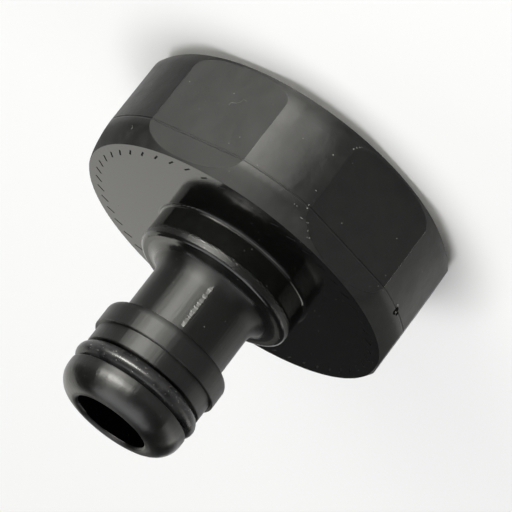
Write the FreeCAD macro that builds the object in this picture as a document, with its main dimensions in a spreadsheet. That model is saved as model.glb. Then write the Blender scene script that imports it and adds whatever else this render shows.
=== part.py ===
import FreeCAD, Part
import Sketcher
import math
import os
import re

# Garden hose adapter: one black moulding, a flatted nut with a G 1 female thread at the back
# and a quick-connect nipple at the front, with an O-ring on the nipple and a flat washer in
# the nut. Z is the axis: the open end of the nut stands on z = 0 and the nipple points up.
# +X is square to one flat of the nut.

doc = FreeCAD.newDocument("GardenHoseAdapter")

# Driving dimensions, in millimetres, degrees and plain counts
dimensions = [
    ("threadDiameter", 33.25, "G 1 thread at its root"),
    ("nutWall", 6.125, "wall of the nut, thread root to round lands"),
    ("flatCount", 6, "flats round the nut"),
    ("flatDepth", 1.1, "depth of each flat below the round lands"),
    ("flatEdgeRadius", 0.4, "softened outline of each flat"),
    ("nutHeight", 15.4, "open end to front face"),
    ("frontRoundHeight", 3.5, "front rounding, along the axis"),
    ("frontRoundDrop", 1.25, "front rounding, across the axis"),
    ("backRoundRadius", 3.4, "rounding of the open end"),
    ("leadInDepth", 0.8, "chamfer into the thread"),
    ("faceWall", 3.0, "wall between washer seat and front face"),
    ("partingWidth", 0.14, "witness line of the mould, along the axis"),
    ("partingDepth", 0.06, "witness line of the mould, depth"),
    ("notchCount", 50, "notches in the ring on the front face"),
    ("notchInset", 1.45, "rim of the front face to the middle of the ring of notches"),
    ("notchLength", 1.3, "length of one notch"),
    ("notchWidth", 0.25, "width of one notch"),
    ("notchDepth", 0.08, "depth of one notch"),
    ("notchSlant", 52.0, "slant of a notch from the radius"),
    ("collarDiameter", 21.3, "collar between nut and neck"),
    ("collarHeight", 4.45, "front face to shoulder"),
    ("collarEdgeRadius", 0.6, "rounded front edge of the collar"),
    ("collarFootRadius", 0.3, "fillet of the collar at the front face"),
    ("collarWall", 2.6, "wall of the collar round its hollow"),
    ("neckLength", 8.6, "shoulder to locking ring"),
    ("shoulderFlat", 0.65, "flat of the shoulder, between collar edge and neck fillet"),
    ("ringDiameter", 17.3, "locking ring"),
    ("neckDepth", 1.65, "neck below the locking ring, where the coupling claws hold"),
    ("ringWidth", 3.4, "locking ring, along the axis"),
    ("ringRearRadius", 1.1, "rounded rear edge of the locking ring"),
    ("landStep", 0.475, "land behind the O-ring, below the locking ring"),
    ("landWidth", 2.3, "land behind the O-ring, along the axis"),
    ("noseStep", 0.3, "nose in front of the O-ring, below the locking ring"),
    ("noseLength", 3.75, "nose in front of the O-ring, along the axis"),
    ("noseRadius", 2.9, "rounding of the nose"),
    ("lipRadius", 0.15, "softened small edges of the nipple"),
    ("boreMouthRadius", 0.35, "rounding at the mouth of the waterway"),
    ("grooveDepth", 1.975, "O-ring groove below the land"),
    ("grooveWall", 1.3, "wall between O-ring groove and waterway"),
    ("cordDiameter", 2.4, "section of the O-ring"),
    ("cordClearance", 0.02, "O-ring over the groove root"),
    ("cordSideClearance", 0.18, "O-ring to each side of its groove"),
    ("recessDepth", 0.25, "washer's recess beyond the thread root"),
    ("recessClearance", 0.2, "washer's recess behind the washer, along the axis"),
    ("washerThickness", 2.4, "flat washer"),
    ("washerWidth", 6.225, "flat washer, across its ring"),
    ("washerClearance", 0.4, "flat washer to thread root, inside its recess"),
    ("washerEdgeRadius", 0.2, "softened edges of the flat washer"),
]
toolMargin = 1.0  # how far a cutting outline stands clear of the nut
matchTolerance = 0.001  # for finding an edge or a face by its place

sheet = doc.addObject("Spreadsheet::Sheet", "Dimensions")
for row, (alias, value, note) in enumerate(dimensions, start=1):
    sheet.set("A%d" % row, str(value))
    sheet.setAlias("A%d" % row, alias)
    sheet.set("B%d" % row, note)
doc.recompute()


def cell(formula):
    """A formula over the aliases, with each one written as a cell of the sheet."""
    aliases = [row[0] for row in dimensions]
    return re.sub(r"[A-Za-z]+", lambda word: "Dimensions." * (word[0] in aliases) + word[0], formula)


def size(formula):
    """The value of a formula over the sheet."""
    return float(sheet.evalExpression(cell(formula)))


# Radii and heights that follow from the sheet
nutRadius = "(threadDiameter / 2 + nutWall)"
threadRadius = "(threadDiameter / 2)"
collarRadius = "(collarDiameter / 2)"
neckRadius = "(ringDiameter / 2 - neckDepth)"
ringRadius = "(ringDiameter / 2)"
landRadius = "(ringDiameter / 2 - landStep)"
noseRadius = "(ringDiameter / 2 - noseStep)"
rootRadius = "(ringDiameter / 2 - landStep - grooveDepth)"
boreRadius = "(ringDiameter / 2 - landStep - grooveDepth - grooveWall)"
recessRadius = "(threadDiameter / 2 + recessDepth)"
hollowRadius = "(collarDiameter / 2 - collarWall)"
flatRadius = "(threadDiameter / 2 + nutWall - flatDepth)"
rimRadius = "(threadDiameter / 2 + nutWall - frontRoundDrop)"
notchRingRadius = "(threadDiameter / 2 + nutWall - frontRoundDrop - notchInset)"
partingHeight = "(nutHeight - frontRoundHeight)"
seatHeight = "(nutHeight - faceWall)"
recessHeight = "(nutHeight - faceWall - washerThickness - recessClearance)"
shoulderHeight = "(nutHeight + collarHeight)"
ringRearHeight = shoulderHeight + " + neckLength"
ringFrontHeight = ringRearHeight + " + ringWidth"
grooveRearHeight = ringFrontHeight + " + landWidth"
grooveWidth = "(cordDiameter + 2 * cordSideClearance)"
grooveFrontHeight = grooveRearHeight + " + " + grooveWidth
tipHeight = grooveFrontHeight + " + noseLength"
hollowHeight = shoulderHeight + " - collarWall"
outsideDiameter = "2 * %s / cos(180 / flatCount) + %.1f" % (nutRadius, 2 * toolMargin)
neckFootRadius = "(collarDiameter / 2 - %s - collarEdgeRadius - shoulderFlat)" % neckRadius
washerRadius = "(threadDiameter / 2 - washerClearance)"
washerHoleRadius = "(threadDiameter / 2 - washerClearance - washerWidth)"
coneHeight = hollowHeight + " + " + hollowRadius + " - " + boreRadius


def newBody(label):
    body = doc.addObject("PartDesign::Body", label)
    body.Label = label
    return body


def newSketch(body, name, role, height=None):
    """A sketch on an origin plane of its body, raised along the axis if a height is given."""
    sketch = body.newObject("Sketcher::SketchObject", name)
    plane = next(item for item in body.Origin.OriginFeatures if item.Role == role)
    sketch.AttachmentSupport = [(plane, "")]
    sketch.MapMode = "FlatFace"
    if height:
        sketch.setExpression("AttachmentOffset.Base.z", cell(height))
    return sketch


def pinCorner(sketch, curve, end, name, across, along):
    """Ties one end of a curve to its two distances from the origin."""
    if across == "0" and along == "0":
        sketch.addConstraint(Sketcher.Constraint("Coincident", curve, end, -1, 1))
        return
    for axis, kind, formula in ((-2, "DistanceX", across), (-1, "DistanceY", along)):
        if formula == "0":
            sketch.addConstraint(Sketcher.Constraint("PointOnObject", curve, end, axis))
            continue
        index = sketch.addConstraint(Sketcher.Constraint(kind, -1, 1, curve, end, size(formula)))
        sketch.renameConstraint(index, name + kind[-1])
        sketch.setExpression("Constraints." + name + kind[-1], cell(formula))


def traceOutline(sketch, corners, rounds=None):
    """A closed outline through named corners; rounds gives the radius of each outward arc."""
    rounds = rounds or {}
    first = sketch.GeometryCount
    count = len(corners)
    for index, (name, across, along) in enumerate(corners):
        following = corners[(index + 1) % count]
        start = FreeCAD.Vector(size(across), size(along), 0)
        end = FreeCAD.Vector(size(following[1]), size(following[2]), 0)
        if name not in rounds:
            sketch.addGeometry(Part.LineSegment(start, end))
            continue
        radius = size(rounds[name])
        half = (end - start) * 0.5
        inward = FreeCAD.Vector(-half.y, half.x, 0).normalize()
        centre = start + half + inward * math.sqrt(max(radius ** 2 - half.Length ** 2, 0))
        circle = Part.Circle(centre, FreeCAD.Vector(0, 0, 1), radius)
        arc = Part.ArcOfCircle(circle, circle.parameter(start), circle.parameter(end))
        sketch.addGeometry(arc)
    for index, (name, across, along) in enumerate(corners):
        curve = first + index
        sketch.addConstraint(Sketcher.Constraint("Coincident", curve, 2, first + (index + 1) % count, 1))
        pinCorner(sketch, curve, 1, name, across, along)
        if name in rounds:
            arcRadius = sketch.addConstraint(Sketcher.Constraint("Radius", curve, size(rounds[name])))
            sketch.renameConstraint(arcRadius, name + "Radius")
            sketch.setExpression("Constraints." + name + "Radius", cell(rounds[name]))


def traceCircle(sketch, name, diameter):
    circle = Part.Circle(FreeCAD.Vector(0, 0, 0), FreeCAD.Vector(0, 0, 1), size(diameter) / 2)
    curve = sketch.addGeometry(circle)
    sketch.addConstraint(Sketcher.Constraint("Coincident", curve, 3, -1, 1))
    index = sketch.addConstraint(Sketcher.Constraint("Diameter", curve, size(diameter)))
    sketch.renameConstraint(index, name)
    sketch.setExpression("Constraints." + name, cell(diameter))


def traceFlats(sketch, inradius):
    """The polygon whose sides are the flats, with its corners outside the round lands."""
    count = int(size("flatCount"))
    corners = []
    for index in range(count):
        angle = "(360 / flatCount * %.1f)" % (index + 0.5)
        reach = "(%s) / cos(180 / flatCount)" % inradius
        corners.append(("flat%d" % index, "%s * cos%s" % (reach, angle), "%s * sin%s" % (reach, angle)))
    traceOutline(sketch, corners)


def revolve(body, kind, name, sketch):
    feature = body.newObject(kind, name)
    feature.Profile = sketch
    feature.ReferenceAxis = (sketch, ["V_Axis"])
    feature.Angle = 360
    doc.recompute()
    return feature


def pad(body, name, sketch, length):
    feature = body.newObject("PartDesign::Pad", name)
    feature.Profile = sketch
    feature.setExpression("Length", cell(length))
    doc.recompute()
    return feature


def pocket(body, name, sketch, depth, upward):
    """Cuts the sketch into the body, and checks that something was cut."""
    before = body.Tip.Shape.Volume
    feature = body.newObject("PartDesign::Pocket", name)
    feature.Profile = sketch
    feature.Reversed = upward
    feature.setExpression("Length", cell(depth))
    doc.recompute()
    if not 0 < feature.Shape.Volume < before:
        raise RuntimeError(name + " doesn't cut as it should")
    if len(feature.Shape.Solids) != 1:
        raise RuntimeError(name + " cuts the body in two")
    return feature


def ringEdges(shape, spots):
    """Names of the full circles at the given radii and heights."""
    names = []
    for radius, height in spots:
        for number, edge in enumerate(shape.Edges, start=1):
            if not isinstance(edge.Curve, Part.Circle) or not edge.isClosed():
                continue
            centre = edge.Curve.Center
            offAxis = math.hypot(centre.x, centre.y)
            misses = (offAxis, abs(centre.z - size(height)), abs(edge.Curve.Radius - size(radius)))
            if max(misses) < matchTolerance:
                names.append("Edge%d" % number)
    return names


def fillet(body, name, edges, radius):
    base = body.Tip
    feature = body.newObject("PartDesign::Fillet", name)
    feature.Base = (base, edges)
    feature.setExpression("Radius", cell(radius))
    doc.recompute()
    return feature


def flatEdges(shape):
    """Names of the edges round every upright flat of the nut."""
    names = []
    for face in shape.Faces:
        if not isinstance(face.Surface, Part.Plane) or abs(face.Surface.Axis.z) > matchTolerance:
            continue
        for edge in face.Edges:
            number = next(n for n, other in enumerate(shape.Edges, start=1) if other.isSame(edge))
            names.append("Edge%d" % number)
    return names


# Moulding: the nut is a body of revolution, widest at the witness line
moulding = newBody("adapter_body")
blank = newSketch(moulding, "NutSection", "XZ_Plane")
traceOutline(blank, [
    ("axisFoot", "0", "0"),
    ("openEnd", nutRadius + " - backRoundRadius", "0"),
    ("sideFoot", nutRadius, "backRoundRadius"),
    ("sideTop", nutRadius, partingHeight),
    ("rim", rimRadius, "nutHeight"),
    ("axisTop", "0", "nutHeight"),
], {
    "openEnd": "backRoundRadius",
    "sideTop": "(frontRoundHeight ^ 2 + frontRoundDrop ^ 2) / (2 * frontRoundDrop)",
})
revolve(moulding, "PartDesign::Revolution", "NutBlank", blank)

# Flats, cut straight down past both roundings, which gives each its rounded outline
flats = newSketch(moulding, "FlatSection", "XY_Plane")
traceCircle(flats, "outside", outsideDiameter)
traceFlats(flats, flatRadius)
pocket(moulding, "Flats", flats, "nutHeight", True)
fillet(moulding, "FlatEdges", flatEdges(moulding.Tip.Shape), "flatEdgeRadius")

# Witness line where the two halves of the mould meet, round the lands and across the flats
lands = newSketch(moulding, "WitnessLandSection", "XZ_Plane")
clearRadius = nutRadius + " + %.1f" % toolMargin
traceOutline(lands, [
    ("rearIn", nutRadius + " - partingDepth", partingHeight + " - partingWidth / 2"),
    ("rearOut", clearRadius, partingHeight + " - partingWidth / 2"),
    ("frontOut", clearRadius, partingHeight + " + partingWidth / 2"),
    ("frontIn", nutRadius + " - partingDepth", partingHeight + " + partingWidth / 2"),
])
revolve(moulding, "PartDesign::Groove", "WitnessLands", lands)
witness = newSketch(moulding, "WitnessFlatSection", "XY_Plane", partingHeight + " - partingWidth / 2")
traceCircle(witness, "outside", outsideDiameter)
traceFlats(witness, flatRadius + " - partingDepth")
pocket(moulding, "WitnessFlats", witness, "partingWidth", True)

# Nipple: collar, neck, locking ring, land, O-ring groove and nose, turned on the front face
nipple = newSketch(moulding, "NippleSection", "XZ_Plane")
traceOutline(nipple, [
    ("axisFoot", "0", seatHeight),
    ("collarFoot", collarRadius, seatHeight),
    ("collarTop", collarRadius, shoulderHeight),
    ("neckFoot", neckRadius, shoulderHeight),
    ("neckTop", neckRadius, ringRearHeight),
    ("ringRear", ringRadius, ringRearHeight),
    ("ringFront", ringRadius, ringFrontHeight),
    ("landRear", landRadius, ringFrontHeight),
    ("landFront", landRadius, grooveRearHeight),
    ("rootRear", rootRadius, grooveRearHeight),
    ("rootFront", rootRadius, grooveFrontHeight),
    ("noseRear", noseRadius, grooveFrontHeight),
    ("noseTip", noseRadius, tipHeight),
    ("axisTip", "0", tipHeight),
])
revolve(moulding, "PartDesign::Revolution", "Nipple", nipple)
roundings = [
    ("NoseRound", [(noseRadius, tipHeight)], "noseRadius"),
    ("RingRear", [(ringRadius, ringRearHeight)], "ringRearRadius"),
    ("NeckFoot", [(neckRadius, shoulderHeight)], neckFootRadius),
    ("CollarEdge", [(collarRadius, shoulderHeight)], "collarEdgeRadius"),
    ("CollarFoot", [(collarRadius, "nutHeight")], "collarFootRadius"),
    ("Lips", [
        (ringRadius, ringFrontHeight),
        (landRadius, grooveRearHeight),
        (noseRadius, grooveFrontHeight),
    ], "lipRadius"),
]
for name, spots, radius in roundings:
    fillet(moulding, name, ringEdges(moulding.Tip.Shape, spots), radius)

# Inside: chamfered thread bore, recess and seat of the washer, hollow in the collar, waterway
inside = newSketch(moulding, "InsideSection", "XZ_Plane")
traceOutline(inside, [
    ("axisFoot", "0", "0"),
    ("mouth", threadRadius + " + leadInDepth", "0"),
    ("threadFoot", threadRadius, "leadInDepth"),
    ("threadEnd", threadRadius, recessHeight),
    ("recessFoot", recessRadius, recessHeight),
    ("recessTop", recessRadius, seatHeight),
    ("hollowFoot", hollowRadius, seatHeight),
    ("hollowTop", hollowRadius, hollowHeight),
    ("boreFoot", boreRadius, coneHeight),
    ("boreTip", boreRadius, tipHeight),
    ("axisTip", "0", tipHeight),
])
revolve(moulding, "PartDesign::Groove", "Inside", inside)
fillet(moulding, "BoreMouth", ringEdges(moulding.Tip.Shape, [(boreRadius, tipHeight)]), "boreMouthRadius")

# Ring of slanted notches near the rim of the front face
notch = newSketch(moulding, "NotchSection", "XY_Plane", "nutHeight - notchDepth")
turn = "(180 / notchCount)"
lean = "(180 / notchCount - notchSlant)"
signs = [("outerRight", 1, -1), ("outerLeft", 1, 1), ("innerLeft", -1, 1), ("innerRight", -1, -1)]
corners = []
for name, reach, side in signs:
    across = notchRingRadius + " * cos%s + %d * notchLength / 2 * cos%s - %d * notchWidth / 2 * sin%s"
    along = notchRingRadius + " * sin%s + %d * notchLength / 2 * sin%s + %d * notchWidth / 2 * cos%s"
    corners.append((name, across % (turn, reach, lean, side, lean), along % (turn, reach, lean, side, lean)))
traceOutline(notch, corners)
cut = pocket(moulding, "Notch", notch, "notchDepth", True)
ring = moulding.newObject("PartDesign::PolarPattern", "Notches")
ring.Originals = [cut]
ring.Axis = (next(item for item in moulding.Origin.OriginFeatures if item.Role == "Z_Axis"), [""])
ring.Angle = 360
ring.setExpression("Occurrences", cell("notchCount"))
moulding.Tip = ring
doc.recompute()

# O-ring in its groove
seal = doc.addObject("Part::Torus", "nipple_o_ring")
seal.Label = "nipple_o_ring"
seal.setExpression("Radius1", cell(rootRadius + " + cordClearance + cordDiameter / 2"))
seal.setExpression("Radius2", cell("cordDiameter / 2"))
seal.setExpression("Placement.Base.z", cell(grooveRearHeight + " + " + grooveWidth + " / 2"))

# Flat washer on its seat at the end of the thread
washer = newBody("thread_washer")
washerSection = newSketch(washer, "WasherSection", "XY_Plane", seatHeight + " - washerThickness")
traceCircle(washerSection, "washerOutside", "2 * " + washerRadius)
traceCircle(washerSection, "washerHole", "2 * " + washerHoleRadius)
pad(washer, "WasherDisc", washerSection, "washerThickness")
washerRadii = (washerRadius, washerHoleRadius)
washerHeights = (seatHeight + " - washerThickness", seatHeight)
washerSpots = [(radius, height) for radius in washerRadii for height in washerHeights]
fillet(washer, "WasherEdges", ringEdges(washer.Tip.Shape, washerSpots), "washerEdgeRadius")
doc.recompute()

# Every feature has to be sound before anything is written
for item in doc.Objects:
    if "Invalid" in item.State or "Error" in item.State:
        raise RuntimeError(item.Name + " failed: " + item.getStatusString())
pieces = [moulding, seal, washer]
for piece in pieces:
    if piece.Shape.isNull() or not piece.Shape.isValid():
        raise RuntimeError(piece.Label + " has no valid shape")
os.makedirs("parts", exist_ok=True)
for piece in pieces:
    piece.Shape.exportStep(os.path.join("parts", piece.Label + ".step"))
    box = piece.Shape.BoundBox
    print("%s %.1f mm3, z %.2f to %.2f" % (piece.Label, piece.Shape.Volume, box.ZMin, box.ZMax))
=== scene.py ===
import math
import random

import bmesh
import bpy
from mathutils import Matrix, Vector


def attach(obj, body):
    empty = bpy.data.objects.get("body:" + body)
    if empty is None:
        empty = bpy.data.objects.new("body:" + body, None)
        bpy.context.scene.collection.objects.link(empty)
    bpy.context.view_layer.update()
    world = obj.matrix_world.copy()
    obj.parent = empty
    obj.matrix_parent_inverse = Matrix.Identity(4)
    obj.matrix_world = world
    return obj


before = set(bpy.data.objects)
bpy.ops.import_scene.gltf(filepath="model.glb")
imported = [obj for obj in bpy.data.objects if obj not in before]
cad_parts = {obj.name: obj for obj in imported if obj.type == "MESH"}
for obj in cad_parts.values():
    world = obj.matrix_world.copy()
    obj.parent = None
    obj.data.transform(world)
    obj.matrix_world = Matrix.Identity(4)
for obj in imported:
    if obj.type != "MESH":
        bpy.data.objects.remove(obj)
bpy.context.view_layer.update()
print("frame loaded:", ", ".join(sorted(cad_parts)))

millimetre = 0.001

# Camera of the photograph in millimetres and degrees: it looks down at the standing adapter and
# is rolled almost over. Its sensor is in millimetres and its clipping in metres.
camera = {
    "turn": -3.687,
    "elevation": 19.41,
    "roll": -142.58,
    "distance": 392.4,
    "lens": 223.88,
    "aimRight": 6.54,
    "aimUp": 11.40,
    "aimHeight": -1.065,
    "sensor": 36,
    "nearest": 0.01,
    "farthest": 30,
}


def makeCamera():
    elevation = math.radians(camera["elevation"])
    roll = math.radians(camera["roll"])
    turn = Matrix.Rotation(math.radians(camera["turn"]), 3, "Z")
    level = turn @ Vector((1, 0, 0))
    upright = turn @ Vector((0, math.sin(elevation), math.cos(elevation)))
    forward = turn @ Vector((0, math.cos(elevation), -math.sin(elevation)))
    right = math.cos(roll) * level + math.sin(roll) * upright
    up = math.cos(roll) * upright - math.sin(roll) * level
    place = -(camera["aimRight"] * right + camera["aimUp"] * up + camera["distance"] * forward)
    place = place + Vector((0, 0, camera["aimHeight"]))
    data = bpy.data.cameras.new("photoCamera")
    data.lens = camera["lens"]
    data.sensor_width = camera["sensor"]
    data.clip_start = camera["nearest"]
    data.clip_end = camera["farthest"]
    viewer = bpy.data.objects.new("photoCamera", data)
    bpy.context.scene.collection.objects.link(viewer)
    axes = Matrix((right, up, -forward)).transposed()
    viewer.matrix_world = Matrix.Translation(place * millimetre) @ axes.to_4x4()
    bpy.context.scene.camera = viewer


# Studio in metres and degrees: azimuth 0 is +X and 90 is +Y, and spread is half of a softbox's
# width. Each softbox stands on the floor, except the top one.
softboxes = {
    "frontSoftbox": {
        "azimuth": -59.0,
        "spread": 33.0,
        "distance": 0.9,
        "tall": 0.08,
        "radiance": 80.0,
    },
    "keySoftbox": {
        "azimuth": -57.0,
        "spread": 13.0,
        "distance": 0.88,
        "tall": 0.08,
        "radiance": 75.0,
    },
    "backSoftbox": {
        "azimuth": 60.0,
        "spread": 25.4,
        "distance": 1.1,
        "tall": 0.75,
        "radiance": 1.1,
    },
    "sideSoftbox": {
        "azimuth": 163.0,
        "spread": 24.0,
        "distance": 1.0,
        "tall": 0.34,
        "radiance": 2.7,
    },
}
topSoftbox = {"height": 1.5, "side": 1.6, "radiance": 3.25}
surroundings = {
    "softboxLift": 0.005,
    "worldColor": 0.05,
    "floorColor": 0.85,
    "floorSize": 30.0,
    "floorDrop": 0.00002,
}
warmLight = (1.0, 0.99, 0.93)
plainLight = (0.995, 1.0, 1.0)


def hangLamp(name, place, facing, wide, tall, radiance, color):
    data = bpy.data.lights.new(name, "AREA")
    data.shape = "RECTANGLE"
    data.size = wide
    data.size_y = tall
    data.energy = radiance * math.pi * wide * tall
    data.color = color
    lamp = bpy.data.objects.new(name, data)
    lamp.location = place
    lamp.rotation_mode = "QUATERNION"
    lamp.rotation_quaternion = facing.to_track_quat("Z", "Y")
    bpy.context.scene.collection.objects.link(lamp)


def makeLamps():
    for name, box in softboxes.items():
        azimuth = math.radians(box["azimuth"])
        outward = Vector((math.cos(azimuth), math.sin(azimuth), 0))
        wide = 2 * box["distance"] * math.tan(math.radians(box["spread"]))
        middle = Vector((0, 0, box["tall"] / 2 + surroundings["softboxLift"]))
        place = outward * box["distance"] + middle
        hangLamp(name, place, outward, wide, box["tall"], box["radiance"], warmLight)
    above = Vector((0, 0, 1))
    place = topSoftbox["height"] * above
    side = topSoftbox["side"]
    hangLamp("topSoftbox", place, above, side, side, topSoftbox["radiance"], plainLight)


def makeWorld():
    world = bpy.data.worlds.new("studioWorld")
    world.use_nodes = True
    shade = world.node_tree.nodes["Background"]
    shade.inputs["Color"].default_value = (surroundings["worldColor"],) * 3 + (1,)
    bpy.context.scene.world = world


def makeFloor():
    cover = bmesh.new()
    bmesh.ops.create_grid(cover, x_segments=1, y_segments=1, size=surroundings["floorSize"] / 2)
    bmesh.ops.translate(cover, verts=cover.verts[:], vec=(0, 0, -surroundings["floorDrop"]))
    mesh = bpy.data.meshes.new("studioFloor")
    cover.to_mesh(mesh)
    cover.free()
    floor = bpy.data.objects.new("studioFloor", mesh)
    bpy.context.scene.collection.objects.link(floor)
    paint = bpy.data.materials.new("floorPaint")
    paint.use_nodes = True
    shader = paint.node_tree.nodes["Principled BSDF"]
    shader.inputs["Base Color"].default_value = (surroundings["floorColor"],) * 3 + (1,)
    shader.inputs["Roughness"].default_value = 1.0
    shader.inputs["Specular IOR Level"].default_value = 0.0
    mesh.materials.append(paint)


# Node helpers: each value may be a socket, which is linked, or a number or colour, which is set
def plug(tree, socket, value):
    if isinstance(value, bpy.types.NodeSocket):
        tree.links.new(value, socket)
    else:
        socket.default_value = value


def addMath(tree, operation, first, second=0.0):
    node = tree.nodes.new("ShaderNodeMath")
    node.operation = operation
    plug(tree, node.inputs[0], first)
    plug(tree, node.inputs[1], second)
    return node.outputs[0]


def addRange(tree, value, low, high, lowOut=0.0, highOut=1.0):
    node = tree.nodes.new("ShaderNodeMapRange")
    node.interpolation_type = "SMOOTHSTEP"
    plug(tree, node.inputs["Value"], value)
    node.inputs["From Min"].default_value = low
    node.inputs["From Max"].default_value = high
    plug(tree, node.inputs["To Min"], lowOut)
    plug(tree, node.inputs["To Max"], highOut)
    return node.outputs["Result"]


def addNoise(tree, vector, scale, detail=2.0, roughness=0.5):
    node = tree.nodes.new("ShaderNodeTexNoise")
    plug(tree, node.inputs["Vector"], vector)
    plug(tree, node.inputs["Scale"], scale)
    node.inputs["Detail"].default_value = detail
    node.inputs["Roughness"].default_value = roughness
    return node.outputs["Fac"]


def addMix(tree, amount, first, second):
    node = tree.nodes.new("ShaderNodeMix")
    node.data_type = "RGBA"
    plug(tree, node.inputs[0], amount)
    plug(tree, node.inputs[6], first)
    plug(tree, node.inputs[7], second)
    return node.outputs[2]


def startGroup(name, inputs, outputs):
    group = bpy.data.node_groups.new(name, "ShaderNodeTree")
    group.interface.new_socket("Vector", in_out="INPUT", socket_type="NodeSocketVector")
    for label, value in inputs.items():
        socket = group.interface.new_socket(label, in_out="INPUT", socket_type="NodeSocketFloat")
        socket.default_value = value
    for label in outputs:
        group.interface.new_socket(label, in_out="OUTPUT", socket_type="NodeSocketFloat")
    return group, group.nodes.new("NodeGroupInput"), group.nodes.new("NodeGroupOutput")


def placeGroup(tree, group, vector, values):
    node = tree.nodes.new("ShaderNodeGroup")
    node.node_tree = group
    tree.links.new(vector, node.inputs["Vector"])
    for label, value in values.items():
        plug(tree, node.inputs[label], value)
    return node


# Patterns shared by the materials, with their scales in cells per metre
skinPattern = {
    "cloudDetail": 3.0,
    "cloudRoughness": 0.6,
    "cloudLow": 0.3,
    "cloudHigh": 0.7,
    "grainDetail": 1.0,
    "waveScale": 230.0,
    "waveDetail": 0.6,
    "streakScale": 2600.0,
    "streakDetail": 2.0,
    "streakSquash": 0.06,
}
dustPattern = {
    "speckCore": 0.03,
    "speckRim": 0.13,
    "faintest": 0.15,
    "patchScale": 400.0,
    "patchDetail": 2.0,
    "patchShare": 0.3,
    "luckShare": 0.7,
}
# The wide side of an anisotropic highlight runs along the adapter's axis
highlightTurn = 0.25


# Soft clouds in the skin, the fine grain of a moulded surface, waves, and streaks along the axis
def makeSkinGroup():
    look = skinPattern
    group, given, result = startGroup("mouldedSkin", {"Cloud Scale": 300.0, "Grain Scale": 9000.0},
                                      ["Clouds", "Grain", "Waves", "Streaks"])
    vector = given.outputs["Vector"]
    clouds = addNoise(group, vector, given.outputs["Cloud Scale"], look["cloudDetail"],
                      look["cloudRoughness"])
    clouds = addRange(group, clouds, look["cloudLow"], look["cloudHigh"])
    grain = addNoise(group, vector, given.outputs["Grain Scale"], look["grainDetail"])
    waves = addNoise(group, vector, look["waveScale"], look["waveDetail"])
    stretched = group.nodes.new("ShaderNodeVectorMath")
    stretched.operation = "MULTIPLY"
    stretched.inputs[1].default_value = (1, 1, look["streakSquash"])
    group.links.new(vector, stretched.inputs[0])
    streaks = addNoise(group, stretched.outputs[0], look["streakScale"], look["streakDetail"])
    group.links.new(clouds, result.inputs["Clouds"])
    group.links.new(grain, result.inputs["Grain"])
    group.links.new(waves, result.inputs["Waves"])
    group.links.new(streaks, result.inputs["Streaks"])
    return group


# Scattered specks of dust, in patches
def makeDustGroup():
    look = dustPattern
    group, given, result = startGroup("settledDust", {"Speck Scale": 1500.0, "Amount": 0.5}, ["Dust"])
    cells = group.nodes.new("ShaderNodeTexVoronoi")
    cells.inputs["Randomness"].default_value = 1.0
    group.links.new(given.outputs["Vector"], cells.inputs["Vector"])
    group.links.new(given.outputs["Speck Scale"], cells.inputs["Scale"])
    near = addRange(group, cells.outputs["Distance"], look["speckCore"], look["speckRim"], 1.0, 0.0)
    tone = group.nodes.new("ShaderNodeSeparateColor")
    group.links.new(cells.outputs["Color"], tone.inputs[0])
    strength = addRange(group, tone.outputs["Green"], 0.0, 1.0, look["faintest"], 1.0)
    near = addMath(group, "MULTIPLY", near, strength)
    patches = addNoise(group, given.outputs["Vector"], look["patchScale"], look["patchDetail"])
    patches = addMath(group, "MULTIPLY", patches, look["patchShare"])
    luck = addMath(group, "MULTIPLY", tone.outputs["Red"], look["luckShare"])
    chance = addMath(group, "ADD", luck, patches)
    limit = addMath(group, "SUBTRACT", 1.0, given.outputs["Amount"])
    chosen = addMath(group, "GREATER_THAN", chance, limit)
    group.links.new(addMath(group, "MULTIPLY", near, chosen), result.inputs["Dust"])
    return group


def startMaterial(name):
    material = bpy.data.materials.new(name)
    material.use_nodes = True
    tree = material.node_tree
    coordinates = tree.nodes.new("ShaderNodeTexCoord").outputs["Object"]
    return material, tree, tree.nodes["Principled BSDF"], coordinates


# Black moulding: heights, radii, blurs between zones and depths of relief are in millimetres
plasticLook = {
    "color": (0.0008, 0.0009, 0.0008, 1),
    "cloudColor": (0.0040, 0.0043, 0.0038, 1),
    "dustColor": (0.16, 0.16, 0.15, 1),
    "specular": 0.4,
    "anisotropic": 0.95,
    "cloudScale": 480.0,
    "grainScale": 5000.0,
    "dustScale": 1300.0,
    "dustAmount": 0.27,
    "landRoughness": 0.40,
    "frontRoughness": 0.9,
    "flatRoughness": 0.42,
    "footRoughness": 0.12,
    "edgeRoughness": 0.36,
    "shoulderRoughness": 0.12,
    "nippleRoughness": 0.40,
    "noseRoughness": 0.25,
    "polishedRoughness": 0.055,
    "mouthRoughness": 0.45,
    "boreRoughness": 0.12,
    "dustRoughness": 0.8,
    "cloudRoughness": 0.08,
    "polishedClouds": 0.02,
    "calmClouds": 0.35,
    "calmShare": 0.25,
    "flatDistance": 21.65,
    "flatMargin": 0.002,
    "flatBlur": 0.01,
    "witnessHeight": 12.08,
    "witnessBlur": 0.07,
    "frontHeight": 14.6,
    "faceHeight": 15.4,
    "faceBlur": 0.02,
    "footRadius": 11.0,
    "footBlur": 0.1,
    "collarWallFoot": 15.72,
    "collarWallTop": 18.3,
    "collarWallBlur": 0.2,
    "edgeStart": 18.6,
    "edgeBlur": 0.4,
    "shoulderHeight": 19.3,
    "shoulderBlur": 0.4,
    "filletStart": 19.95,
    "filletBlur": 0.6,
    "neckStart": 22.0,
    "neckBlur": 0.5,
    "noseStart": 37.4,
    "noseBlur": 1.0,
    "boreRadius": 4.9,
    "boreBlur": 0.01,
    "mouthRadius": 5.3,
    "mouthBlur": 0.5,
    "witnessStep": 0.12,
    "waveDepth": 0.13,
    "mottleDepth": 0.014,
    "flatWaves": 0.4,
    "streakDepth": 0.020,
    "grainDepth": 0.0045,
    "edgeGrain": 0.045,
}


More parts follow.
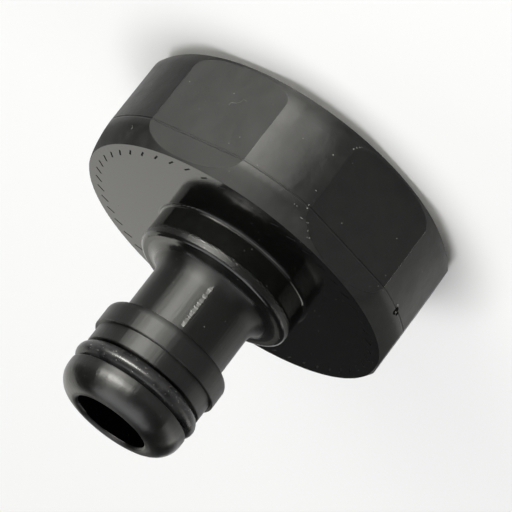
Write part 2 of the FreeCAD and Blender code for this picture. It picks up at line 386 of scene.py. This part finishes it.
# Relief is given in millimetres
def addRelief(tree, shader, relief):
    bump = tree.nodes.new("ShaderNodeBump")
    bump.inputs["Distance"].default_value = millimetre
    plug(tree, bump.inputs["Height"], relief)
    plug(tree, shader.inputs["Normal"], bump.outputs["Normal"])


# One from low to high, and nothing beyond the blur on both sides
def addZone(tree, value, low, high, blur):
    rise = addRange(tree, value, low - blur, low)
    fall = addRange(tree, value, high, high + blur, 1.0, 0.0)
    return addMath(tree, "MULTIPLY", rise, fall)


# Takes the second value where the mask is one
def choose(tree, mask, first, second):
    return addRange(tree, mask, 0.0, 1.0, first, second)


# Position in millimetres, its height and its distance from the axis
def addPlace(tree, coordinates):
    measured = tree.nodes.new("ShaderNodeVectorMath")
    measured.operation = "SCALE"
    measured.inputs["Scale"].default_value = 1 / millimetre
    tree.links.new(coordinates, measured.inputs[0])
    split = tree.nodes.new("ShaderNodeSeparateXYZ")
    tree.links.new(measured.outputs[0], split.inputs[0])
    acrossX = addMath(tree, "MULTIPLY", split.outputs["X"], split.outputs["X"])
    acrossY = addMath(tree, "MULTIPLY", split.outputs["Y"], split.outputs["Y"])
    radius = addMath(tree, "SQRT", addMath(tree, "ADD", acrossX, acrossY))
    return measured.outputs[0], split.outputs["Z"], radius


# Distance from the axis square to the nearest of the six flats
def addReach(tree, point):
    reach = 0.0
    for degrees in (0, 60, 120):
        turn = math.radians(degrees)
        across = tree.nodes.new("ShaderNodeVectorMath")
        across.operation = "DOT_PRODUCT"
        across.inputs[1].default_value = (math.cos(turn), math.sin(turn), 0)
        tree.links.new(point, across.inputs[0])
        reach = addMath(tree, "MAXIMUM", reach, addMath(tree, "ABSOLUTE", across.outputs["Value"]))
    return reach


# Masks of the face and the collar's wall, the flats, the collar's edge, the neck and the bore
def addZones(tree, look, place, height, radius):
    blur = look["faceBlur"]
    face = look["faceHeight"]
    outer = addRange(tree, radius, look["footRadius"], look["footRadius"] + look["footBlur"])
    level = addZone(tree, height, face - blur, face + blur, blur)
    wallFoot = addRange(tree, height, look["collarWallFoot"] - look["footBlur"], look["collarWallFoot"])
    wallTop = addRange(tree, height, look["collarWallTop"], look["shoulderHeight"], 1.0, 0.0)
    wall = addMath(tree, "MULTIPLY", wallFoot, wallTop)
    distance = look["flatDistance"]
    return {
        "polished": addMath(tree, "MAXIMUM", addMath(tree, "MULTIPLY", level, outer), wall),
        "onFlat": addRange(tree, addReach(tree, place), distance - look["flatBlur"],
                           distance - look["flatMargin"]),
        "aboveFace": addRange(tree, height, face - 2 * blur, face - blur),
        "aboveWall": addRange(tree, height, look["collarWallTop"],
                              look["collarWallTop"] + look["collarWallBlur"]),
        "edge": addZone(tree, height, look["edgeStart"], look["shoulderHeight"], look["edgeBlur"]),
        "onNeck": addRange(tree, height, look["neckStart"] - look["neckBlur"],
                           look["neckStart"] + look["neckBlur"]),
        "inMouth": addRange(tree, radius, look["mouthRadius"], look["mouthRadius"] + look["mouthBlur"],
                            1.0, 0.0),
        "inBore": addRange(tree, radius, look["boreRadius"], look["boreRadius"] + look["boreBlur"],
                           1.0, 0.0),
    }


def addPlasticRoughness(tree, look, zones, height, clouds):
    satin = addRange(tree, height, look["witnessHeight"], look["frontHeight"], look["landRoughness"],
                     look["frontRoughness"])
    satin = choose(tree, zones["onFlat"], satin, look["flatRoughness"])
    satin = choose(tree, zones["aboveFace"], satin, look["footRoughness"])
    satin = choose(tree, zones["aboveWall"], satin, look["edgeRoughness"])
    for start, blur, wanted in (("shoulderHeight", "shoulderBlur", "shoulderRoughness"),
                                ("filletStart", "filletBlur", "nippleRoughness"),
                                ("noseStart", "noseBlur", "noseRoughness")):
        satin = addRange(tree, height, look[start], look[start] + look[blur], satin, look[wanted])
    satin = addMath(tree, "ADD", satin, addMath(tree, "MULTIPLY", clouds, look["cloudRoughness"]))
    polish = addMath(tree, "MULTIPLY", clouds, look["polishedClouds"])
    polish = addMath(tree, "ADD", look["polishedRoughness"], polish)
    roughness = choose(tree, zones["polished"], satin, polish)
    roughness = choose(tree, zones["inMouth"], roughness, look["mouthRoughness"])
    return choose(tree, zones["inBore"], roughness, look["boreRoughness"])


def addPlasticRelief(tree, look, zones, height, clouds, surface):
    step = addRange(tree, height, look["witnessHeight"] - look["witnessBlur"],
                    look["witnessHeight"] + look["witnessBlur"], 0.0, look["witnessStep"])
    waves = addMath(tree, "MULTIPLY", surface.outputs["Waves"], look["waveDepth"])
    waves = addMath(tree, "ADD", waves, addMath(tree, "MULTIPLY", clouds, look["mottleDepth"]))
    waves = addMath(tree, "MULTIPLY", waves, choose(tree, zones["onFlat"], 1.0, look["flatWaves"]))
    streaks = addMath(tree, "MULTIPLY", surface.outputs["Streaks"], look["streakDepth"])
    waves = choose(tree, zones["aboveWall"], waves, 0.0)
    waves = choose(tree, zones["onNeck"], waves, streaks)
    waves = choose(tree, zones["polished"], waves, 0.0)
    grain = choose(tree, zones["edge"], look["grainDepth"], look["edgeGrain"])
    grain = addMath(tree, "MULTIPLY", surface.outputs["Grain"], grain)
    return addMath(tree, "ADD", addMath(tree, "ADD", step, waves), grain)


# Colour, dust and the constants that every material has
def dress(tree, shader, look, clouds, roughness, specks):
    dust = specks.outputs["Dust"]
    color = addMix(tree, clouds, look["color"], look["cloudColor"])
    plug(tree, shader.inputs["Base Color"], addMix(tree, dust, color, look["dustColor"]))
    plug(tree, shader.inputs["Roughness"], choose(tree, dust, roughness, look["dustRoughness"]))
    shader.inputs["Specular IOR Level"].default_value = look["specular"]
    shader.inputs["Anisotropic"].default_value = look["anisotropic"]
    shader.inputs["Anisotropic Rotation"].default_value = highlightTurn


def makePlastic(skin, dust):
    look = plasticLook
    material, tree, shader, coordinates = startMaterial("blackPlastic")
    place, height, radius = addPlace(tree, coordinates)
    zones = addZones(tree, look, place, height, radius)
    surface = placeGroup(tree, skin, coordinates, {"Cloud Scale": look["cloudScale"],
                                                   "Grain Scale": look["grainScale"]})
    specks = placeGroup(tree, dust, coordinates, {"Speck Scale": look["dustScale"],
                                                  "Amount": look["dustAmount"]})
    clouds = surface.outputs["Clouds"]
    calm = addMath(tree, "ADD", look["calmClouds"], addMath(tree, "MULTIPLY", clouds, look["calmShare"]))
    clouds = choose(tree, zones["aboveFace"], clouds, calm)
    roughness = addPlasticRoughness(tree, look, zones, height, clouds)
    dress(tree, shader, look, clouds, roughness, specks)
    addRelief(tree, shader, addPlasticRelief(tree, look, zones, height, clouds, surface))
    return material


# Ragged plastic of the mould marks, where no polished wall of the mould touched it
tornLook = {
    "color": (0.0060, 0.0062, 0.0055, 1),
    "cloudColor": (0.0160, 0.0160, 0.0145, 1),
    "dustColor": (0.16, 0.16, 0.15, 1),
    "roughness": 0.32,
    "cloudRoughness": 0.12,
    "dustRoughness": 0.9,
    "dustScale": 2500.0,
    "dustAmount": 0.24,
    "specular": 0.5,
    "anisotropic": 0.0,
    "grainDepth": 0.012,
}

# Painted shade: the bottom of the torn gate, which no light leaves, is a dark lump that hardly reflects,
# standing in for the shade in the pit
paintedPitShadeLook = dict(
    tornLook,
    color=(0.0010, 0.0010, 0.0010, 1),
    cloudColor=(0.0020, 0.0020, 0.0020, 1),
    dustAmount=0.0,
    roughness=0.85,
    specular=0.05,
)

# Plastic dust of the scuffs, the scratch and the torn gate's lip
speckLook = dict(
    tornLook,
    color=(0.0450, 0.0450, 0.0420, 1),
    cloudColor=(0.0900, 0.0900, 0.0850, 1),
    roughness=0.7,
    specular=0.3,
)

# Rubber of the O-ring, greased and dusty, and of the flat washer, dry and dull
sealLook = {
    "color": (0.0045, 0.0047, 0.0050, 1),
    "cloudColor": (0.0110, 0.0112, 0.0115, 1),
    "dustColor": (0.62, 0.62, 0.60, 1),
    "roughness": 0.24,
    "cloudRoughness": 0.18,
    "dustRoughness": 0.9,
    "dustScale": 3300.0,
    "dustAmount": 0.96,
    "specular": 0.26,
    "anisotropic": 0.0,
    "grainDepth": 0.006,
}
washerLook = {
    "color": (0.0120, 0.0120, 0.0120, 1),
    "cloudColor": (0.0240, 0.0238, 0.0230, 1),
    "dustColor": (0.14, 0.14, 0.135, 1),
    "roughness": 0.62,
    "cloudRoughness": 0.15,
    "dustRoughness": 0.9,
    "dustScale": 1200.0,
    "dustAmount": 0.24,
    "specular": 0.4,
    "anisotropic": 0.0,
    "grainDepth": 0.012,
}
matteScales = {"Cloud Scale": 420.0, "Grain Scale": 7000.0}


# The rubbers and the torn plastic differ in their values only
def makeMatte(name, look, skin, dust):
    material, tree, shader, coordinates = startMaterial(name)
    surface = placeGroup(tree, skin, coordinates, matteScales)
    specks = placeGroup(tree, dust, coordinates, {"Speck Scale": look["dustScale"],
                                                  "Amount": look["dustAmount"]})
    clouds = surface.outputs["Clouds"]
    roughness = addMath(tree, "MULTIPLY", clouds, look["cloudRoughness"])
    roughness = addMath(tree, "ADD", look["roughness"], roughness)
    dress(tree, shader, look, clouds, roughness, specks)
    addRelief(tree, shader, addMath(tree, "MULTIPLY", surface.outputs["Grain"], look["grainDepth"]))
    return material


def finishPiece(name, shape, material):
    bmesh.ops.recalc_face_normals(shape, faces=shape.faces[:])
    mesh = bpy.data.meshes.new(name)
    shape.to_mesh(mesh)
    shape.free()
    for face in mesh.polygons:
        face.use_smooth = True
    mesh.materials.append(material)
    piece = bpy.data.objects.new(name, mesh)
    bpy.context.scene.collection.objects.link(piece)
    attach(piece, "root")
    return piece


# Ridge of the female G 1 thread in millimetres and degrees: its profile is given as radius and
# half width, root to crest
thread = {
    "pitch": 2.309,
    "firstHeight": 1.95,
    "turns": 2.9,
    "stepsPerTurn": 96,
    "backRadius": 16.8,
    "rootRadius": 16.64,
    "profile": [(16.62, 1.02), (16.47, 0.90), (15.43, 0.36), (15.25, 0.24), (15.16, 0.10)],
    "runOut": 50.0,
}


def makeThread(material):
    outline = [(thread["backRadius"], thread["profile"][0][1])] + thread["profile"]
    outline = outline + [(radius, -half) for radius, half in reversed(outline)]
    shape = bmesh.new()
    corners = [shape.verts.new((radius, 0, half)) for radius, half in outline]
    section = corners + [shape.edges.new((a, b)) for a, b in zip(corners, corners[1:] + corners[:1])]
    shape.faces.new(corners)
    steps = round(thread["turns"] * thread["stepsPerTurn"])
    rise = thread["pitch"] / thread["stepsPerTurn"]
    angle = 2 * math.pi * thread["turns"]
    count = len(corners)
    made = bmesh.ops.spin(shape, geom=section, cent=(0, 0, 0), axis=(0, 0, 1), dvec=(0, 0, rise),
                          angle=angle, steps=steps, use_duplicate=False)
    last = [item for item in made["geom_last"] if isinstance(item, bmesh.types.BMVert)]
    bmesh.ops.contextual_create(shape, geom=last)
    shape.verts.ensure_lookup_table()
    runOut = math.radians(thread["runOut"])
    for index, corner in enumerate(shape.verts):
        along = (index // count) / steps * angle
        fade = min(1.0, along / runOut, (angle - along) / runOut)
        fade = fade * fade * (3 - 2 * fade)
        radius = math.hypot(corner.co.x, corner.co.y)
        if radius < thread["rootRadius"]:
            wanted = thread["rootRadius"] - (thread["rootRadius"] - radius) * fade
            corner.co.x *= wanted / radius
            corner.co.y *= wanted / radius
    bmesh.ops.translate(shape, verts=shape.verts[:], vec=(0, 0, thread["firstHeight"]))
    bmesh.ops.scale(shape, verts=shape.verts[:], vec=(millimetre,) * 3)
    return finishPiece("threadRidge", shape, material)


# Marks in millimetres and degrees: lines of the mould's slides down the neck, the torn gate,
# the scuffs and a scratch
slideMark = {
    "azimuths": (-92.3, 87.7),
    "foot": 21.3,
    "top": 27.9,
    "neckRadius": 7.0,
    "filletRadius": 2.4,
    "filletTop": 22.25,
    "width": 0.90,
    "height": 0.12,
    "narrowest": 0.55,
    "jitter": 0.012,
    "rimStart": 0.45,
    "rimSunk": 0.02,
    "sunk": 0.12,
    "columns": 4,
    "steps": 60,
    "fadeIn": 8,
    "fadeOut": 3,
    "seed": 4,
}
# Each lump of the gate and the scuffs is given by its azimuth, its height, its width round the
# nut, its length along the axis and how proud it stands; reach is the nut's radius
lumpShape = {"reach": 22.75, "subdivisions": 2, "smallest": 0.75, "largest": 1.15}
gateMark = {
    # The pit's lumps carry painted shade, the lip's lumps are pale torn plastic
    "paintedPitShade": [(-149.4, 12.12, 0.80, 1.15, 0.030), (-151.0, 12.10, 0.45, 0.55, 0.045)],
    "lip": [(-148.4, 11.52, 0.60, 0.36, 0.140), (-149.8, 12.20, 0.38, 0.26, 0.090)],
    "seed": 9,
}
scuffs = {
    "specks": [
        (-100.4, 9.88, 0.26, 0.12, 0.03),
        (-101.3, 11.82, 0.16, 0.20, 0.02),
        (-101.5, 12.24, 0.22, 0.16, 0.02),
        (-97.8, 12.84, 0.14, 0.14, 0.02),
        (-98.7, 12.84, 0.16, 0.12, 0.02),
        (-102.0, 13.62, 0.34, 0.10, 0.02),
        (-104.6, 13.46, 0.18, 0.18, 0.03),
        (-106.0, 14.28, 0.14, 0.20, 0.03),
        (-107.8, 14.96, 0.14, 0.18, 0.03),
        (-107.1, 15.10, 0.14, 0.14, 0.02),
        (-101.8, 2.88, 0.22, 0.22, 0.01),
        (-102.4, 2.46, 0.20, 0.16, 0.01),
        (-103.0, 2.07, 0.22, 0.14, 0.01),
        (-103.6, 1.78, 0.14, 0.12, 0.01),
        (-30.3, 7.74, 0.14, 0.20, 0.03),
        (-35.4, 13.72, 0.08, 0.40, 0.03),
        (-35.0, 13.41, 0.20, 0.08, 0.03),
        (-70.0, 10.90, 0.20, 0.12, 0.03),
    ],
    "seed": 5,
}
# A curled scratch on the left flat: each point is given along the flat and by its height
scratchMark = {
    "azimuth": -60.0,
    "distance": 21.65,
    "points": [
        (-0.59, 6.37),
        (-0.55, 5.94),
        (-0.98, 5.87),
        (-1.46, 5.70),
        (-1.73, 5.24),
        (-1.73, 4.84),
        (-2.34, 5.04),
    ],
    "width": 0.04,
    "roundness": 2,
    "order": 3,
    "mergeDistance": 0.001,
}


# Radius of the neck and of its fillet at a height
def neckReach(height):
    drop = slideMark["filletTop"] - height
    if drop <= 0:
        return slideMark["neckRadius"]
    fillet = slideMark["filletRadius"]
    return slideMark["neckRadius"] + fillet - math.sqrt(fillet ** 2 - drop ** 2)


def makeSlideMarks(material):
    shape = bmesh.new()
    chance = random.Random(slideMark["seed"])
    steps = slideMark["steps"]
    length = slideMark["top"] - slideMark["foot"]
    for azimuth in slideMark["azimuths"]:
        line = bmesh.ops.create_grid(shape, x_segments=slideMark["columns"],
                                     y_segments=steps, size=0.5)["verts"]
        widths = [chance.uniform(slideMark["narrowest"], 1.0) for row in range(steps + 1)]
        for corner in line:
            row = round((corner.co.y + 0.5) * steps)
            fade = min(1.0, row / slideMark["fadeIn"], (steps - row) / slideMark["fadeOut"])
            slope = 0.5 - corner.co.x
            proud = slideMark["height"] * slope * fade * widths[row] - slideMark["rimSunk"]
            if abs(corner.co.x) <= slideMark["rimStart"]:
                proud = proud + chance.uniform(-1, 1) * slideMark["jitter"] * fade
            across = corner.co.x * slideMark["width"] * widths[row]
            height = slideMark["foot"] + length * (corner.co.y + 0.5)
            corner.co = Vector((neckReach(height) + proud, across, height))
        faces = list({face for corner in line for face in corner.link_faces})
        made = bmesh.ops.extrude_face_region(shape, geom=faces, use_keep_orig=True)["geom"]
        deep = [item for item in made if isinstance(item, bmesh.types.BMVert)]
        bmesh.ops.translate(shape, verts=deep, vec=(-slideMark["sunk"], 0, 0))
        turn = Matrix.Rotation(math.radians(azimuth), 3, "Z")
        bmesh.ops.rotate(shape, verts=line + deep, cent=(0, 0, 0), matrix=turn)
    bmesh.ops.scale(shape, verts=shape.verts[:], vec=(millimetre,) * 3)
    return finishPiece("slideMarks", shape, material)


def makeLumps(name, lumps, seed, material):
    shape = bmesh.new()
    chance = random.Random(seed)
    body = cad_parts["adapter_body"]
    for azimuth, height, wide, long, proud in lumps:
        angle = math.radians(azimuth)
        aim = Vector((math.cos(angle), math.sin(angle), 0)) * lumpShape["reach"]
        aim = (aim + Vector((0, 0, height))) * millimetre
        foot, outward = body.closest_point_on_mesh(aim)[1:3]
        side = Vector((0, 0, 1)).cross(outward).normalized()
        lump = bmesh.ops.create_icosphere(shape, subdivisions=lumpShape["subdivisions"],
                                          radius=0.5)["verts"]
        for corner in lump:
            corner.co *= chance.uniform(lumpShape["smallest"], lumpShape["largest"])
        bmesh.ops.scale(shape, verts=lump, vec=Vector((2 * proud, wide, long)) * millimetre)
        axes = Matrix((outward, side, outward.cross(side))).transposed()
        bmesh.ops.transform(shape, verts=lump, matrix=Matrix.Translation(foot) @ axes.to_4x4())
    return finishPiece(name, shape, material)


def makeScratch(material):
    path = bpy.data.curves.new("flatScratch", "CURVE")
    path.dimensions = "3D"
    path.bevel_depth = scratchMark["width"] / 2
    path.bevel_resolution = scratchMark["roundness"]
    path.use_fill_caps = True
    line = path.splines.new("NURBS")
    line.points.add(len(scratchMark["points"]) - 1)
    for point, (along, height) in zip(line.points, scratchMark["points"]):
        point.co = (scratchMark["distance"], along, height, 1)
    line.order_u = scratchMark["order"]
    line.use_endpoint_u = True
    holder = bpy.data.objects.new("flatScratch", path)
    shape = bmesh.new()
    shape.from_mesh(bpy.data.meshes.new_from_object(holder))
    bpy.data.objects.remove(holder)
    bmesh.ops.remove_doubles(shape, verts=shape.verts[:], dist=scratchMark["mergeDistance"])
    turn = Matrix.Rotation(math.radians(scratchMark["azimuth"]), 3, "Z")
    bmesh.ops.rotate(shape, verts=shape.verts[:], cent=(0, 0, 0), matrix=turn)
    bmesh.ops.scale(shape, verts=shape.verts[:], vec=(millimetre,) * 3)
    return finishPiece("flatScratch", shape, material)


makeCamera()
makeLamps()
makeWorld()
makeFloor()
print("camera and studio made")
skinGroup = makeSkinGroup()
dustGroup = makeDustGroup()
plastic = makePlastic(skinGroup, dustGroup)
finishes = {
    "adapter_body": plastic,
    "nipple_o_ring": makeMatte("sealRubber", sealLook, skinGroup, dustGroup),
    "thread_washer": makeMatte("washerRubber", washerLook, skinGroup, dustGroup),
}
for name, finish in finishes.items():
    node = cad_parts[name]
    node.data.materials.clear()
    node.data.materials.append(finish)
print("finishes given to", ", ".join(finishes))
torn = makeMatte("tornPlastic", tornLook, skinGroup, dustGroup)
makeThread(plastic)
makeSlideMarks(torn)
speck = makeMatte("speckDust", speckLook, skinGroup, dustGroup)
# Painted shade: a dark lump stands in for the shadowed pit of the torn gate
paintedPitShade = makeMatte("gatePaintedPitShade", paintedPitShadeLook, skinGroup, dustGroup)
makeLumps("gatePaintedPitShade", gateMark["paintedPitShade"], gateMark["seed"], paintedPitShade)
makeLumps("gateLip", gateMark["lip"], gateMark["seed"], speck)
makeLumps("scuffSpecks", scuffs["specks"], scuffs["seed"], speck)
makeScratch(speck)
print("thread and mould marks made")

bpy.context.scene.view_settings.view_transform = "Standard"
